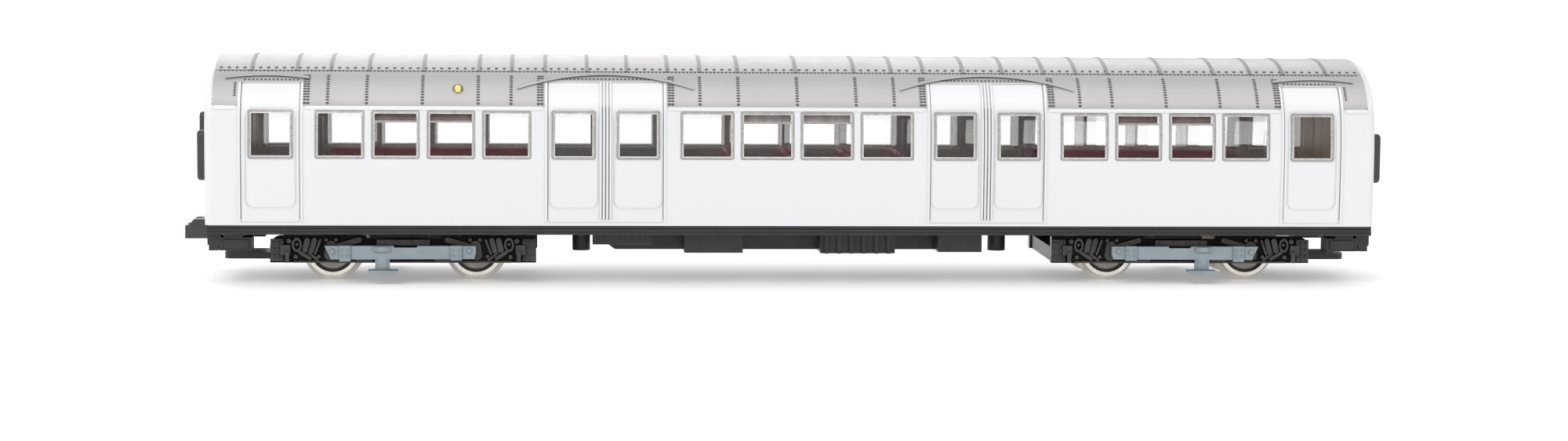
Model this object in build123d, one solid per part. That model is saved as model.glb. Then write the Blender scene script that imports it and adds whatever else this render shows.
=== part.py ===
from build123d import *
import math
import os

# A 1:76 model of a tube-train trailer coach. Millimetres. X runs along the coach, Y across it (the near
# side is -Y). Every height is above the rail head, and X is measured from the middle of the body;
# write() lifts the model so that the wheel flanges stand on Z = 0 and centres its box on the origin.

# ---- driving dimensions: body shell
RAIL_HEAD = 0.75  # depth of the wheel flanges below the rail head
BODY_LENGTH = 205.0
BODY_HALF = BODY_LENGTH / 2
BODY_BOTTOM = 9.6
CROWN = 38.55
ARC_RADII = (24.6, 10.8, 34.0, 300.0)  # roof, shoulder, upper side, side
ARC_ENDS = (25.27, 80.0, 90.0)  # degrees from the vertical where one arc runs into the next
SIDE_WALL = 1.0
END_WALL = 1.2
END_EDGE_R = 1.2
SILL = 21.15
WINDOW_TOP = 29.55
WINDOW_R = 0.4
EAVES = 30.2  # lower edge of the roof panels
CANTRAIL = 0.6  # height of the strip under the eaves
LAP = 36.2  # height of the riveted lap between roof side and roof centre
ROOF_HALF = 101.1

# Insets from the roof panels' surface, which is the section's zero
SIDE_SKIN = 0.06
LEAF_SKIN = 0.17
BEAD_SKIN = -0.02
CENTRE_SKIN = -0.06
STRAP_SKIN = -0.16
GUTTER_SKIN = -0.34

# ---- driving dimensions: windows and doors, as distances from the middle of the coach
BAY_WINDOWS = ((75.01, 83.56), (65.51, 73.85), (55.96, 64.3), (46.29, 54.77), (11.03, 20.43), (0.53, 9.92))
LEAF_WINDOWS = ((35.16, 42.77), (23.96, 31.52))
END_DOOR_WINDOW = (87.27, 95.0)
DOUBLE_DOOR = (23.3, 43.5)
DOUBLE_DOOR_HEAD = 34.4
END_DOOR = (86.05, 96.3)
END_DOOR_HEAD = 34.1
THRESHOLD = 10.1
KICK_PLATE = 0.6
LEAF_PANEL_BOTTOM = 12.5
LEAF_PANEL_TOP = 30.0
PILLAR_WIDTH = 0.45
MEETING_EDGE = 0.32
FRAME_WIDTH = 0.55
FRAME_LIP = 0.27  # width of the raised outer edge of a window frame
FRAME_SKIN = 0.0
FRAME_STEP = 0.13
PANE_SKIN = 0.3
GROOVE_WIDTH = 0.16
GROOVE_SKIN = 0.36
PANE_GAP = 0.03
SHEET = (1.1, 1.7)  # insets of the two faces of the glazing's back sheet

# ---- driving dimensions: roof fittings
STRAPS = (0.0, 10.3, 16.9, 22.6, 29.7, 36.65, 43.95, 49.75, 55.4, 65.05, 74.5, 81.1, 87.0, 94.8)
STRAP_WIDTH = 0.6
GUTTER_WIDTH = 0.38
DOUBLE_GUTTER = (33.4, 15.4, 51.6, 35.8)  # centre, half length, radius, height of the peak
END_GUTTER = (91.9, 7.2, 55.4, 35.5)
LAMP = (59.0, 33.15)  # distance from the middle and height of the indicator lamps

# ---- driving dimensions: floor, underframe and ends
FLOOR_BOTTOM = 10.6
FLOOR_TOP = 11.4
SOLEBAR_BOTTOM = 8.0
SOLEBAR = (15.1, 16.65)  # inner and outer half widths
SEAT_FLOOR = 12.2
CABIN_HALF = 15.0
BULKHEAD = 96.5
POST = (37.5, 1.6, 3.75)  # display-screw posts: distance, radius, height of the foot
POST_HOLE = (0.85, 5.8)
FIT = 0.03

# ---- driving dimensions: bogies
BOGIE_CENTRE = 68.5
AXLE_SPACING = 25.0
AXLE_HEIGHT = 4.75
TREAD_R = 4.75
FLANGE_R = TREAD_R + RAIL_HEAD
WHEEL_BACK = 7.25
WHEEL_FRONT = 10.05
FLANGE_THICK = 0.8
AXLE_R = 1.0
AXLE_TIP = (11.6, 13.0, 0.12)  # where the cone starts and ends, and its tip radius
BUSH_R = 1.5
FRAME_HALF = 23.05
FRAME_HEIGHTS = (2.85, 7.5)
FRAME_PLATE = (12.0, 13.9)  # inner and outer half widths of the side frames
CUP_CLEAR = 0.06
PIVOT_R = 0.9
PIVOT_BORE_R = 0.97
BOLSTER = (6.3, 8.05)
TONGUE_REACH = 32.0
BEAM_SHIFT = 0.4  # of the shoe beams towards the coach's middle

# ---- driving dimensions: coupling
COUPLER_PIVOT = -97.5
COUPLER_REACH = 107.4
SOCKET_REACH = 105.7
SHIFT = (COUPLER_REACH - SOCKET_REACH) / 2


# ---------------------------------------------------------------- helpers


def block(x, y, z):
    """Box between two X, two Y and two Z values."""
    size = [abs(high - low) for low, high in (x, y, z)]
    middle = [(low + high) / 2 for low, high in (x, y, z)]
    return Pos(*middle) * Box(*size)


def drum(x, y, z, radius):
    """Upright cylinder between two heights."""
    return Pos(x, y, (z[0] + z[1]) / 2) * Cylinder(radius, z[1] - z[0])


def side_cut(outline, y=(-30.0, 30.0)):
    """Solid with the given side-view outline (X and height), between two Y values."""
    return extrude(Plane.XZ.offset(-y[0]) * outline, amount=y[0] - y[1])


def across(y):
    """The same span on the near side and on the far side."""
    return ((-y[1], -y[0]), (y[0], y[1]))


def span(x, z, radius=0.0):
    """Side-view rectangle between two X values and two heights."""
    width = x[1] - x[0]
    height = z[1] - z[0]
    shape = RectangleRounded(width, height, radius) if radius else Rectangle(width, height)
    return Pos((x[0] + x[1]) / 2, (z[0] + z[1]) / 2) * shape


def both_ends(x):
    """A span of X and its mirror image."""
    return (x, (-x[1], -x[0]))


def ring(x, z, radius, width):
    """Side-view rounded rectangle drawn as a line of the given width, inside the span."""
    inner = span((x[0] + width, x[1] - width), (z[0] + width, z[1] - width), max(radius - width, 0.08))
    return span(x, z, radius) - inner


def arc_centres():
    """Centres of the section's arcs, each tangent to the one before."""
    centres = [(0.0, CROWN - ARC_RADII[0])]
    for radius, after, angle in zip(ARC_RADII, ARC_RADII[1:], ARC_ENDS):
        y, z = centres[-1]
        turn = math.radians(angle)
        centres.append((y + (radius - after) * math.sin(turn), z + (radius - after) * math.cos(turn)))
    return centres


def section_arc(index, inset, start, end, side=1):
    """One arc of the section between two angles from the vertical."""
    y, z = arc_centres()[index]
    radius = ARC_RADII[index] - inset
    points = []
    for angle in (start, (start + end) / 2, end):
        turn = math.radians(angle)
        points.append((side * (y + radius * math.sin(turn)), z + radius * math.cos(turn)))
    return ThreePointArc(*points)


def section(inset=0.0, bottom=BODY_BOTTOM):
    """Cross-section of the body, moved inwards, cut off at a height."""
    last = len(ARC_RADII) - 1
    foot = math.degrees(math.acos((bottom - arc_centres()[last][1]) / (ARC_RADII[last] - inset)))
    edges = [section_arc(0, inset, -ARC_ENDS[0], ARC_ENDS[0])]
    for side in (-1, 1):
        edges += [section_arc(i, inset, ARC_ENDS[i - 1], ARC_ENDS[i], side) for i in (1, 2)]
        edges.append(section_arc(last, inset, ARC_ENDS[-1], foot, side))
    feet = [edges[3] @ 1, edges[6] @ 1]
    edges.append(Line(*feet))
    return make_face(Wire(edges))


def prism(inset, half, bottom=BODY_BOTTOM):
    """The body section extruded to a half length both ways."""
    return extrude(Plane.YZ * section(inset, bottom), amount=half, both=True)


def layer(inset, outlines, half=ROOF_HALF):
    """The body's solid at an inset, kept only inside some side-view outlines."""
    return prism(inset, half) & side_cut(Sketch() + list(outlines))


# ---------------------------------------------------------------- body shell


def window_spans():
    """Every window opening of one side, as X spans."""
    spans = []
    for x in (*BAY_WINDOWS, *LEAF_WINDOWS, END_DOOR_WINDOW):
        spans += both_ends(x)
    return spans


def door_openings():
    """Recessed door areas, as side-view outlines."""
    outlines = []
    for x, head in ((DOUBLE_DOOR, DOUBLE_DOOR_HEAD), (END_DOOR, END_DOOR_HEAD)):
        outlines += [span(s, (THRESHOLD, head), PILLAR_WIDTH) for s in both_ends(x)]
    return outlines


def door_heads():
    """Areas over the doors where the side's finish runs up into the roof."""
    margin = 0.8
    outlines = []
    for x, head, radius in ((DOUBLE_DOOR, DOUBLE_DOOR_HEAD, 0.5), (END_DOOR, END_DOOR_HEAD, 1.1)):
        wide = (x[0] - margin / 2, x[1] + margin / 2)
        outlines += [span(s, (EAVES - 4, head + margin / 4), radius) for s in both_ends(wide)]
    return outlines


def door_beads():
    """Raised door pillars, meeting edges and pressed panel lines, as side-view outlines."""
    outlines = []
    for x, head in ((DOUBLE_DOOR, DOUBLE_DOOR_HEAD), (END_DOOR, END_DOOR_HEAD)):
        for s in both_ends(x):
            outlines.append(span((s[0] - PILLAR_WIDTH, s[0]), (THRESHOLD, head)))
            outlines.append(span((s[1], s[1] + PILLAR_WIDTH), (THRESHOLD, head)))
    middle = sum(DOUBLE_DOOR) / 2
    for side in (-1, 1):
        for offset in (-0.85, -0.3, 0.3, 0.85):
            x = side * middle + offset
            wide = (x - MEETING_EDGE / 2, x + MEETING_EDGE / 2)
            outlines.append(span(wide, (THRESHOLD + KICK_PLATE, DOUBLE_DOOR_HEAD)))
    return outlines


def door_grooves():
    """Sunk lines inside the door pillars and between the meeting edges, as side-view outlines."""
    lines = []
    for x, head in ((DOUBLE_DOOR, DOUBLE_DOOR_HEAD), (END_DOOR, END_DOOR_HEAD)):
        lines += [(end, head) for end in (x[0] + GROOVE_WIDTH / 2, x[1] - GROOVE_WIDTH / 2)]
    middle = sum(DOUBLE_DOOR) / 2
    lines += [(middle + offset, EAVES) for offset in (-0.575, 0.0, 0.575)]
    outlines = []
    for x, top in lines:
        for s in both_ends((x - GROOVE_WIDTH / 2, x + GROOVE_WIDTH / 2)):
            outlines.append(span(s, (THRESHOLD + KICK_PLATE, top)))
    return outlines


def cantrails():
    """Raised strip along the eaves of each bay, as side-view outlines."""
    margin = 0.8
    ends = ((-DOUBLE_DOOR[0] + margin, DOUBLE_DOOR[0] - margin),)
    for x in ((DOUBLE_DOOR[1] + margin, END_DOOR[0] - margin), (END_DOOR[1] + margin, ROOF_HALF)):
        ends += both_ends(x)
    return [span(x, (EAVES - CANTRAIL, EAVES + 0.05), CANTRAIL / 2 - 0.05) for x in ends]


def panel_lines():
    """Fine pressed outline round the panel of each door leaf."""
    reach, line, corner = 0.5, 0.16, 1.5
    outlines = []
    for x in (*LEAF_WINDOWS, END_DOOR_WINDOW):
        for s in both_ends((x[0] - reach, x[1] + reach)):
            outlines.append(ring(s, (LEAF_PANEL_BOTTOM, LEAF_PANEL_TOP), corner, line))
    return outlines


def gutter(centre, half, radius, peak):
    """Side-view outline of a curved rain gutter."""
    hub = Pos(centre, peak - radius)
    band = hub * Circle(radius + GUTTER_WIDTH / 2) - hub * Circle(radius - GUTTER_WIDTH / 2)
    return band & span((centre - half, centre + half), (EAVES, CROWN))


def gutters():
    """The four rain gutters of one side."""
    outlines = []
    for centre, *rest in (DOUBLE_GUTTER, END_GUTTER):
        outlines += [gutter(side * centre, *rest) for side in (-1, 1)]
    return outlines


def straps():
    """Flat straps across the roof centre."""
    places = sorted({side * x for x in STRAPS for side in (-1, 1)})
    half = STRAP_WIDTH / 2
    return [span((x - half, x + half), (LAP, CROWN + 2)) for x in places]


def end_openings(grow=0.0):
    """Gangway-door window and two side windows, as shapes in the end wall's plane (Y and height)."""
    door = Pos(0, 25.4) * RectangleRounded(4.6 + grow, 7.6 + grow, 0.6)
    side = RectangleRounded(5.0 + grow, 7.6 + grow, 0.6)
    return [door, Pos(-9.6, 25.4) * side, Pos(9.6, 25.4) * side]


def end_relief():
    """Gangway door frame and hood ledge raised from the end wall (Y and height)."""
    frame = Pos(0, 21.0) * RectangleRounded(9.4, 22.6, 0.8) - Pos(0, 21.0) * RectangleRounded(8.4, 21.6, 0.4)
    step = Pos(0, 10.2) * Rectangle(9.4, 1.0)
    return [frame, step]


def lamp_place(side):
    """Point on the roof skin under an indicator lamp, and the skin's outward angle there."""
    y, z = arc_centres()[1]
    turn = math.acos((LAMP[1] - z) / ARC_RADII[1])
    depth = y + ARC_RADII[1] * math.sin(turn)
    return Pos(side * LAMP[0], side * depth, LAMP[1]) * Rot(-side * math.degrees(turn), 0, 0)


def body_shell():
    """Die-cast body with its roof, door relief, gutters and window openings."""
    outer = prism(SIDE_SKIN, BODY_HALF)
    ends = outer.faces().filter_by(Axis.X).edges().filter_by(lambda e: e.geom_type == GeomType.CIRCLE)
    outer = fillet(ends, END_EDGE_R)
    outer -= side_cut(Sketch() + door_openings())
    outer += layer(LEAF_SKIN, [span((-BODY_HALF, BODY_HALF), (BODY_BOTTOM, CROWN))], 100.0)
    roof = span((-ROOF_HALF, ROOF_HALF), (EAVES, CROWN + 6), 0.8)
    for head in door_heads():
        roof -= head
    outer += layer(0.0, [roof])
    outer += layer(CENTRE_SKIN, [span((-ROOF_HALF, ROOF_HALF), (LAP, CROWN + 2))])
    outer += layer(STRAP_SKIN, straps())
    outer += layer(GUTTER_SKIN, gutters())
    outer += layer(BEAD_SKIN, door_beads() + cantrails())
    outer += layer((LEAF_SKIN + SIDE_SKIN) / 2, panel_lines())
    outer -= side_cut(Sketch() + door_grooves()) - prism(GROOVE_SKIN, BODY_HALF)
    outer -= prism(SIDE_SKIN + SIDE_WALL, BODY_HALF - END_WALL, BODY_BOTTOM - 2)
    openings = [span(x, (SILL, WINDOW_TOP), WINDOW_R) for x in window_spans()]
    outer -= side_cut(Sketch() + openings)
    end_cut = extrude(Plane.YZ * (Sketch() + end_openings()), amount=BODY_HALF + 1, both=True)
    outer -= end_cut
    relief = Plane.YZ * (Sketch() + end_relief())
    for side in (-1, 1):
        inner = side * (BODY_HALF - END_WALL / 2)
        outer += extrude(Pos(inner, 0, 0) * relief, amount=side * (END_WALL / 2 + 0.25))
        outer -= lamp_place(side) * Cylinder(0.35 + FIT, 4)
    return outer


# ---------------------------------------------------------------- glazing and frames


def glazing(side):
    """Clear moulding of one side: a back sheet with a block standing in each window."""
    half = BODY_HALF - END_WALL - 0.6
    keep = block((-BODY_HALF, BODY_HALF), (1, 20) if side > 0 else (-20, -1), (SILL - 1.1, WINDOW_TOP + 1.1))
    sheet = (prism(SHEET[0], half) - prism(SHEET[1], half + 1)) & keep
    low, high = SILL + PANE_GAP, WINDOW_TOP - PANE_GAP
    panes = [span((x[0] + PANE_GAP, x[1] - PANE_GAP), (low, high), WINDOW_R) for x in window_spans()]
    blocks = (prism(PANE_SKIN, half) - prism(SHEET[1], half + 1)) & side_cut(Sketch() + panes) & keep
    return sheet + blocks


def window_frames(side):
    """Metal-finished frames of one side: in the mouth of each window, a ring with a raised outer edge."""
    keep = block((-BODY_HALF, BODY_HALF), (1, 20) if side > 0 else (-20, -1), (SILL - 1, WINDOW_TOP + 1))
    frames = Part()
    for inset, width in ((FRAME_SKIN, FRAME_LIP), (FRAME_STEP, FRAME_WIDTH)):
        rings = []
        for x in window_spans():
            wide = (x[0] + PANE_GAP, x[1] - PANE_GAP)
            rings.append(ring(wide, (SILL + PANE_GAP, WINDOW_TOP - PANE_GAP), WINDOW_R, width))
        skin = prism(inset, BODY_HALF) - prism(PANE_SKIN - FIT, BODY_HALF + 1)
        frames += skin & side_cut(Sketch() + rings) & keep
    return frames


def end_glazing(side):
    """Clear panes of one end wall, joined by a sheet behind the wall."""
    wall = BODY_HALF - END_WALL
    panes = Plane.YZ * (Sketch() + end_openings(-2 * PANE_GAP))
    pane = extrude(Pos(side * (wall - 0.3), 0, 0) * panes, amount=side * (END_WALL + 0.1))
    sheet = block((wall - 0.55, wall - FIT), (-13.2, 13.2), (SILL - 0.6, WINDOW_TOP + 0.6))
    return (sheet if side > 0 else mirror(sheet, Plane.YZ)) + pane


# ---------------------------------------------------------------- interior


def interior_floor():
    """Grey moulding: saloon floor, side dados and the draught screens beside the doors."""
    half = BODY_HALF - END_WALL - 0.8
    solid = block((-half, half), (-CABIN_HALF, CABIN_HALF), (FLOOR_TOP + FIT, SEAT_FLOOR))
    dado = 0.5
    for y in across((CABIN_HALF - dado, CABIN_HALF)):
        solid += block((-half, half), y, (FLOOR_TOP + FIT, SILL - 1.2))
    screen = Pos(0, 19.2) * RectangleRounded(4.2, 15.2, 1.0) & Pos(0, 22.0) * Rectangle(6, 20.4)
    for x in (DOUBLE_DOOR[0] - 1.4, DOUBLE_DOOR[1] + 1.4, END_DOOR[0] - 1.4):
        for place in (-x, x):
            for side in (-1, 1):
                plate = Plane.YZ.offset(place - 0.35) * (Pos(side * 12.7, 0) * screen)
                solid += extrude(plate, amount=0.7)
    return solid


def bulkhead(side):
    """Brown partition at one end of the saloon, with its closed gangway door sunk in both faces."""
    outline = Plane.YZ * section(SHEET[1] + 0.15, SEAT_FLOOR + FIT)
    x = side * BULKHEAD
    plate = extrude(Pos(x, 0, 0) * outline, amount=0.5, both=True)
    plate -= block((x - 1, x + 1), (-CABIN_HALF - 1, CABIN_HALF + 1), (SEAT_FLOOR - 1, SILL - 1))
    plate += block((x - 0.5, x + 0.5), (-14.3, 14.3), (SEAT_FLOOR + FIT, SILL))
    for face in (-1, 1):
        panels = block((x + face * 0.5 - 0.2, x + face * 0.5 + 0.2), (-3.3, 3.3), (SEAT_FLOOR + 0.6, 31.0))
        plate -= panels
    return plate


def bench(x, side):
    """Longitudinal bench: cushions, a rounded back and arm rests between the seats."""
    seats = 6
    pitch = (x[1] - x[0]) / seats
    y_back, y_front = 14.4, 9.6
    outline = Polyline(
        (y_front, SEAT_FLOOR + FIT), (y_front, 16.0), (y_front + 0.5, 16.5), (12.6, 16.2), (13.1, 20.5),
        (13.5, 21.0), (14.1, 21.0), (y_back, 20.7), (y_back, SEAT_FLOOR + FIT), close=True,
    )
    solid = extrude(Plane.YZ.offset(x[0]) * make_face(outline), amount=x[1] - x[0])
    for index in range(seats + 1):
        place = x[0] + index * pitch
        low, high = max(place - 0.25, x[0]), min(place + 0.25, x[1])
        solid += block((low, high), (y_front + 0.1, y_back), (15.0, 18.3))
    return solid if side > 0 else mirror(solid, Plane.XZ)


def seat_bank(end):
    """Two facing longitudinal benches of an end bay."""
    x = (46.0, 83.0) if end > 0 else (-83.0, -46.0)
    return Compound([bench(x, side) for side in (-1, 1)])


def cross_seat(x, facing, y):
    """One transverse seat for two, with a raked back."""
    outline = Polyline(
        (0.25, SEAT_FLOOR + FIT), (3.6, SEAT_FLOOR + FIT), (3.6, 16.0), (3.2, 16.5), (1.25, 16.3),
        (0.95, 20.8), (0.7, 21.2), (0.25, 21.2), close=True,
    )
    solid = extrude(Plane.XZ.offset(-y[0]) * make_face(outline), amount=y[0] - y[1])
    if facing < 0:
        solid = mirror(solid, Plane.YZ)
    return Pos(x, 0, 0) * solid


def seat_bank_mid():
    """Transverse seats of the middle bay, back to back in pairs, either side of the aisle."""
    seats = []
    for x, facings in ((-20.5, (1,)), (-10.5, (-1, 1)), (0.0, (-1, 1)), (10.5, (-1, 1)), (20.5, (-1,))):
        for facing in facings:
            seats += [cross_seat(x, facing, y) for y in across((5.2, 14.4))]
    return Compound(seats)


# ---------------------------------------------------------------- underframe


def pivot_boss(x, foot):
    """Boss under the floor, bored for a screw."""
    return drum(x, 0, (foot, FLOOR_BOTTOM + 0.1), 2.6), drum(x, 0, (foot - 1, FLOOR_TOP + 1), PIVOT_R + FIT)


def chassis():
    """Floor plate with solebars, pivot bosses and display-screw posts."""
    half = BODY_HALF - END_WALL - 0.3
    wall = 15.5
    solid = block((-half, half), (-wall, wall), (FLOOR_BOTTOM, FLOOR_TOP))
    for y in across((SOLEBAR[0] - 0.4, wall)):
        solid += block((-half, half), y, (SOLEBAR_BOTTOM, FLOOR_TOP))
    for y in across(SOLEBAR):
        solid += block((-BODY_HALF + 0.4, BODY_HALF - 0.4), y, (SOLEBAR_BOTTOM + 0.35, BODY_BOTTOM - FIT))
    for y in across((SOLEBAR[0], SOLEBAR[1] + 0.18)):
        solid += block((-BODY_HALF + 0.4, BODY_HALF - 0.4), y, (SOLEBAR_BOTTOM, SOLEBAR_BOTTOM + 0.4))
    for y in across((SOLEBAR[1] - 0.22, SOLEBAR[1] + 1)):
        solid -= block((-BODY_HALF, BODY_HALF), y, (9.0, 9.2))
    for x in (-BOGIE_CENTRE, BOGIE_CENTRE):
        boss, bore = pivot_boss(x, BOLSTER[1] + 0.08)
        solid = solid + boss - bore
    boss, bore = pivot_boss(COUPLER_PIVOT, 8.05)
    solid = solid + boss - bore
    place, radius, foot = POST
    for x in (-place, place):
        solid += drum(x, 0, (foot, FLOOR_BOTTOM + 0.1), radius)
        solid += drum(x, 0, (7.2, FLOOR_BOTTOM + 0.1), radius + 0.9)
        solid -= drum(x, 0, (foot - 1, foot + POST_HOLE[1]), POST_HOLE[0])
    return solid


def equipment_tray():
    """Underfloor keel with its equipment cases, one moulding under the middle of the coach."""
    top = FLOOR_BOTTOM - FIT
    keel = Polyline((-35.0, 6.9), (-31.6, 4.45), (25.6, 4.45), (25.6, 7.6), (-35.0, 7.6), close=True)
    solid = side_cut(make_face(keel), (-6.0, 6.0)) + block((-35.0, 33.0), (-9.0, 9.0), (7.4, 8.6))
    solid += block((-29.0, 31.0), (-3.0, 3.0), (8.5, top))
    solid += block((-19.5, -9.2), (-13.0, -5.0), (4.5, 8.2))
    for offset in range(6):
        x = 5.2 + offset * 2.2
        solid += block((x, x + 0.7), (-13.4, -12.5), (4.4, 8.2))
    solid += block((4.5, 17.7), (-12.8, -5.0), (4.4, 8.2))
    solid += block((25.4, 33.2), (-12.4, -3.0), (4.6, 8.2))
    solid += block((-26.5, -9.0), (5.0, 12.6), (4.8, 8.2)) + block((-2.0, 6.5), (5.0, 13.0), (4.5, 8.2))
    solid += block((12.0, 27.0), (5.0, 12.4), (4.7, 8.2))
    for x in (-23.0, -17.7, -12.5, 16.0, 23.0):
        solid += block((x - 0.3, x + 0.3), (12.3, 13.0), (5.2, 7.9))
    return solid


def equipment_case():
    """Separate battery case hung in front of the left end of the keel."""
    x = (-35.6, -25.2)
    case = block(x, (-13.0, -9.1), (5.9, 8.2)) + block((x[0] + 0.4, x[1] - 0.4), (-12.6, -9.2), (8.1, 10.5))
    case = fillet(case.faces().sort_by(Axis.Y)[0].edges().filter_by(Axis.X).sort_by(Axis.Z)[0], 0.5)
    latches = [block((c - 0.35, c + 0.35), (-13.3, -12.9), (6.6, 7.7)) for c in (-34.0, -30.4, -26.8)]
    return case + latches


def headstock(end):
    """End beam with its corner steps and the equipment boxes behind them."""
    beam = block((100.95, 102.25), (-14.6, 14.6), (SOLEBAR_BOTTOM, FLOOR_BOTTOM - 1.05))
    for y in across((10.4, 14.6)):
        beam += block((99.9, 102.25), y, (6.0, 9.4)) + block((100.4, 102.0), y, (5.0, 6.2))
        beam += block((94.6, 100.2), y, (5.0, 7.3)) + block((96.2, 99.4), y, (7.2, 9.2))
    for y in across((14.5, 14.9)):
        beam += block((95.2, 99.4), y, (5.4, 6.9))
    return beam if end > 0 else mirror(beam, Plane.YZ)


def end_pad(end, y, z, reach):
    """Rounded upright cover on the end wall."""
    width = 2.5
    outline = Pos(y, (z[0] + z[1]) / 2) * RectangleRounded(width, z[1] - z[0], 1.0)
    solid = extrude(Plane.YZ.offset(BODY_HALF + FIT) * outline, amount=reach - BODY_HALF - FIT)
    solid = fillet(solid.faces().sort_by(Axis.X)[-1].edges(), 0.5)
    return solid if end > 0 else mirror(solid, Plane.YZ)


def indicator_lamp(side):
    """Domed lens with a collar and a peg through the roof."""
    collar = Pos(0, 0, 0.1) * Cylinder(0.85, 0.3)
    dome = Pos(0, 0, 0.2) * (Sphere(0.62) & Pos(0, 0, 0.6) * Box(2, 2, 1.2))
    peg = Pos(0, 0, -0.6) * Cylinder(0.35, 1.5)
    return lamp_place(side) * (collar + dome) - prism(BEAD_SKIN, BODY_HALF) + lamp_place(side) * peg


def pivot_screw(x, head, tip):
    """Slotted round-head screw, driven upwards."""
    shank = drum(x, 0, (head[1] - 0.1, tip), PIVOT_R)
    cap = drum(x, 0, head, 1.75)
    cap = fillet(cap.edges().sort_by(Axis.Z)[0], 0.3)
    return cap + shank - block((x - 2, x + 2), (-0.2, 0.2), (head[0] - 1, head[0] + 0.35))


# ---------------------------------------------------------------- coupling


def coupler():
    """Swinging coupling: drawbar eye, shank and hooked head."""
    eye = drum(COUPLER_PIVOT, 0, (6.6, 7.9), 2.1)
    shank = block((-104.0, COUPLER_PIVOT), (-1.5, 1.5), (6.6, 7.8))
    head_line = Polyline(
        (-103.2, 6.0), (-COUPLER_REACH, 6.0), (-COUPLER_REACH, 8.3), (-106.8, 8.3), (-105.9, 9.4),
        (-103.2, 9.4), close=True,
    )
    head = side_cut(make_face(head_line), (-3.2, 3.2))
    head = head - block((-108, -105.6), (-0.9, 0.9), (5, 10)) - block((-108, -104.6), (-0.9, 0.9), (7.2, 10))
    return eye + shank + head - drum(COUPLER_PIVOT, 0, (6, 8.5), PIVOT_BORE_R)


def draw_socket():
    """Fixed drawbar pocket of the right end, which takes the next coach's coupling."""
    bar = block((97.0, 104.4), (-1.9, 1.9), (6.2, 7.9)) + drum(104.0, 0, (5.7, 7.0), 1.7)
    root = block((97.0, 100.4), (-2.4, 2.4), (7.6, FLOOR_BOTTOM - FIT))
    return bar + root - drum(103.9, 0, (5, 7.0), 0.9)


# ---------------------------------------------------------------- bogies, outer end towards -X


def axle_places():
    """X of the two axles, from the bogie's centre."""
    return (-AXLE_SPACING / 2, AXLE_SPACING / 2)


def slanted(x, z, length, width, lean):
    """Side-view capsule, leaning from the vertical by an angle."""
    return Pos(x, z) * Rot(0, 0, lean) * SlotOverall(length, width, rotation=90)


def frame_plate():
    """Side-view outline of a side frame."""
    low, high = FRAME_HEIGHTS
    plate = span((-FRAME_HALF, FRAME_HALF), (low, high)) - span((-6.5, 6.5), (7.0, 8.0))
    corner = plate.vertices().group_by(Axis.Y)[-1].sort_by(Axis.X)
    return fillet(corner[0], 1.8)


def frame_relief():
    """Raised details of a side frame as (outline, height above the plate) pairs."""
    details = []
    for side in (-1, 1):
        details.append((span(sorted((side * 20.7, side * 22.95)), (3.1, 7.0)), 0.4))
        details.append((span(sorted((side * 19.5, side * 21.2)), (4.3, 6.0)), 0.95))
        details.append((span(sorted((side * 19.7, side * 20.4)), (2.95, 4.9)), 1.25))
        details.append((Pos(side * 19.7, 6.7) * Circle(0.42), 0.9))
        oval = Pos(side * 18.35, 6.05) * (Ellipse(0.85, 1.25) - Ellipse(0.5, 0.8))
        details += [(oval, 1.0), (Pos(side * 18.35, 6.1) * Circle(0.28), 0.8)]
        details.append((slanted(side * 16.75, 6.0, 2.6, 0.95, side * 14), 1.1))
        details.append((slanted(side * 15.6, 5.9, 2.8, 0.9, side * 16), 0.8))
        details.append((slanted(side * 14.75, 5.7, 2.9, 0.35, side * 20), 1.15))
        details.append((slanted(side * 17.0, 4.2, 2.6, 0.6, side * -58), 0.9))
        details.append((slanted(side * 15.6, 4.0, 2.4, 0.45, side * -52), 0.6))
        details += [(Pos(side * 14.6, 4.0) * Circle(0.3), 0.95), (Pos(side * 18.6, 3.9) * Circle(0.35), 0.6)]
        details.append((slanted(side * 12.6, 5.0, 3.4, 1.9, side * 8), 0.5))
        details.append((slanted(side * 9.6, 6.3, 5.0, 0.9, side * 74), 0.6))
        details.append((span(sorted((side * 5.4, side * 8.2)), (3.0, 3.5)), 0.5))
        details += [(Pos(side * x, 6.9) * Circle(0.3), 0.9) for x in (13.3, 11.6)]
    details.append((span((-18.9, 18.9), (2.85, 3.15)), 0.35))
    details.append((span((-4.6, 4.6), (5.9, 6.9)), 0.6))
    details += [(Pos(x, 6.4) * Circle(0.3), 0.85) for x in (-3.6, -1.2, 1.2, 3.6)]
    return details


def frame_bolts():
    """Bolt heads on the end plates of a side frame."""
    heads = []
    for side in (-1, 1):
        heads += [Pos(side * x, z) * Circle(0.2) for x in (21.6, 22.5) for z in (4.1, 5.25, 6.4)]
        heads += [Pos(side * 20.9, z) * Circle(0.2) for z in (3.6, 6.55)]
    return heads


def side_frame():
    """Near side frame with its relief, centred on the bogie."""
    inner, outer = FRAME_PLATE
    plate = side_cut(frame_plate(), (-outer, -inner))
    for outline, height in frame_relief():
        plate += side_cut(outline, (-outer - height, -outer + 0.3))
    return plate + side_cut(Sketch() + frame_bolts(), (-outer - 0.95, -outer + 0.3))


def axle_cup(x):
    """Conical bearing cavity for both tips of one axle."""
    start, end, tip = AXLE_TIP
    slope = (AXLE_R - tip) / (end - start)
    mouth = FRAME_PLATE[0] - 1.0
    depth = end + CUP_CLEAR
    wide = tip + CUP_CLEAR + slope * (depth - mouth)
    cups = []
    for side in (-1, 1):
        cone = Cone(wide, tip + CUP_CLEAR, depth - mouth)
        cups.append(Pos(x, side * (mouth + depth) / 2, AXLE_HEIGHT) * Rot(-90 * side, 0, 0) * cone)
    return cups


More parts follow.
